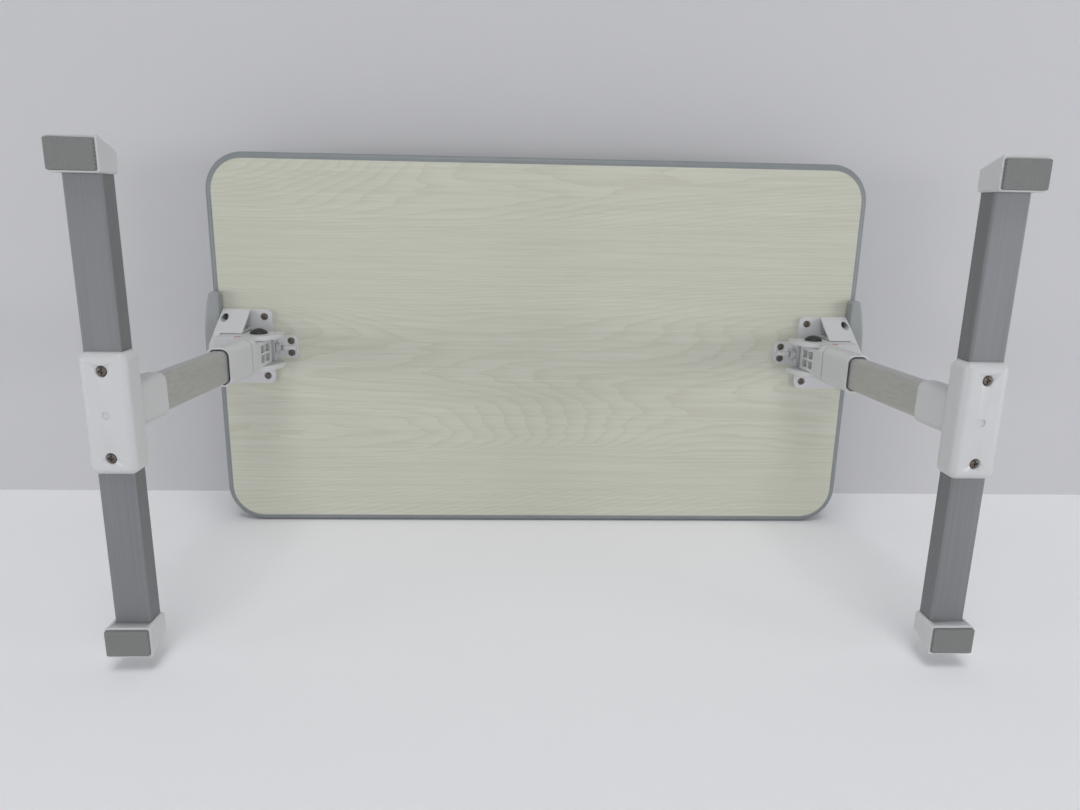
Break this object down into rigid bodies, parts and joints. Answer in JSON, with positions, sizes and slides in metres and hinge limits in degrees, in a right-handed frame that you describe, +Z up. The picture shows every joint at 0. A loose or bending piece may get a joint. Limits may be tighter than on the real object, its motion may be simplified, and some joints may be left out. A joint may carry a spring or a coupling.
{
  "type": "bed tray table",
  "caption": "Low lap table: a rounded wood-grain board on two folding, tilting aluminium legs with long padded foot bars.",
  "frame": {"origin": "on the floor under the board's centre", "axes": "+X along the board, +Y from the user's edge to the rear edge, +Z up"},
  "size_m": [0.53, 0.3, 0.245],
  "materials": {
    "core": "matt",
    "laminate": "satin",
    "band": "satin",
    "white_plastic": "semi-gloss",
    "grey_plastic": "satin",
    "black_plastic": "satin",
    "red_plastic": "satin",
    "tube_aluminium": "satin anodised",
    "pin_steel": "plain",
    "screw_steel": "blackened",
    "foot_rubber": "matt, fine grain"
  },
  "bodies": {
    "tabletop": {"board_core": "core", "top_laminate": "laminate", "underside_laminate": "laminate", "edge_band": "band", "bracket_screws": "screw_steel", "left_base_plate": "white_plastic", "left_tilt_rod": "pin_steel", "left_paddle_spring": "pin_steel", "right_base_plate": "white_plastic", "right_tilt_rod": "pin_steel", "right_paddle_spring": "pin_steel"},
    "left_tilt_body": {"left_tilt_carrier": "white_plastic", "left_lock_flag": "red_plastic", "left_fold_pin": "pin_steel", "left_button_spring": "pin_steel"},
    "left_leg": {"left_knuckle": "white_plastic", "left_leg_sleeve": "white_plastic", "left_sleeve_screw": "screw_steel", "left_leg_tube": "tube_aluminium", "left_tee_block": "white_plastic", "left_tee_screws": "screw_steel", "left_foot_bar": "tube_aluminium", "left_rear_cap": "white_plastic", "left_rear_pad": "foot_rubber", "left_front_cap": "white_plastic", "left_front_pad": "foot_rubber"},
    "left_button": {"left_fold_button": "black_plastic"},
    "left_paddle": {"left_tilt_paddle": "grey_plastic"},
    "right_tilt_body": {"right_tilt_carrier": "white_plastic", "right_lock_flag": "red_plastic", "right_fold_pin": "pin_steel", "right_button_spring": "pin_steel"},
    "right_leg": {"right_knuckle": "white_plastic", "right_leg_sleeve": "white_plastic", "right_sleeve_screw": "screw_steel", "right_leg_tube": "tube_aluminium", "right_tee_block": "white_plastic", "right_tee_screws": "screw_steel", "right_foot_bar": "tube_aluminium", "right_rear_cap": "white_plastic", "right_rear_pad": "foot_rubber", "right_front_cap": "white_plastic", "right_front_pad": "foot_rubber"},
    "right_button": {"right_fold_button": "black_plastic"},
    "right_paddle": {"right_tilt_paddle": "grey_plastic"}
  },
  "joints": [
    {"name": "left_tilt", "type": "hinge", "parent": "tabletop", "child": "left_tilt_body", "pos_m": [-0.2185, 0, 0.222], "axis": [1, 0, 0], "range_deg": [-36, 0]},
    {"name": "left_fold", "type": "hinge", "parent": "left_tilt_body", "child": "left_leg", "pos_m": [-0.2185, 0, 0.208], "axis": [0, -1, 0], "range_deg": [0, 95.5]},
    {"name": "left_button_press", "type": "slide", "parent": "left_tilt_body", "child": "left_button", "axis": [0, -1, 0], "range_m": [0, 0.0015], "stiffness_N_per_m": 600, "springref_m": -0.001, "deforming": ["left_button_spring"]},
    {"name": "left_paddle_pull", "type": "slide", "parent": "tabletop", "child": "left_paddle", "axis": [-1, 0, 0], "range_m": [0, 0.003], "stiffness_N_per_m": 500, "springref_m": -0.003, "deforming": ["left_paddle_spring"]},
    {"name": "right_tilt", "type": "hinge", "parent": "tabletop", "child": "right_tilt_body", "pos_m": [0.2185, 0, 0.222], "axis": [1, 0, 0], "range_deg": [-36, 0]},
    {"name": "right_fold", "type": "hinge", "parent": "right_tilt_body", "child": "right_leg", "pos_m": [0.2185, 0, 0.208], "axis": [0, 1, 0], "range_deg": [0, 95.5]},
    {"name": "right_button_press", "type": "slide", "parent": "right_tilt_body", "child": "right_button", "axis": [0, -1, 0], "range_m": [0, 0.0015], "stiffness_N_per_m": 600, "springref_m": -0.001, "deforming": ["right_button_spring"]},
    {"name": "right_paddle_pull", "type": "slide", "parent": "tabletop", "child": "right_paddle", "axis": [1, 0, 0], "range_m": [0, 0.003], "stiffness_N_per_m": 500, "springref_m": -0.003, "deforming": ["right_paddle_spring"]}
  ],
  "couplings": [
    {"joint": "right_tilt", "follows": "left_tilt", "ratio": 1}
  ]
}
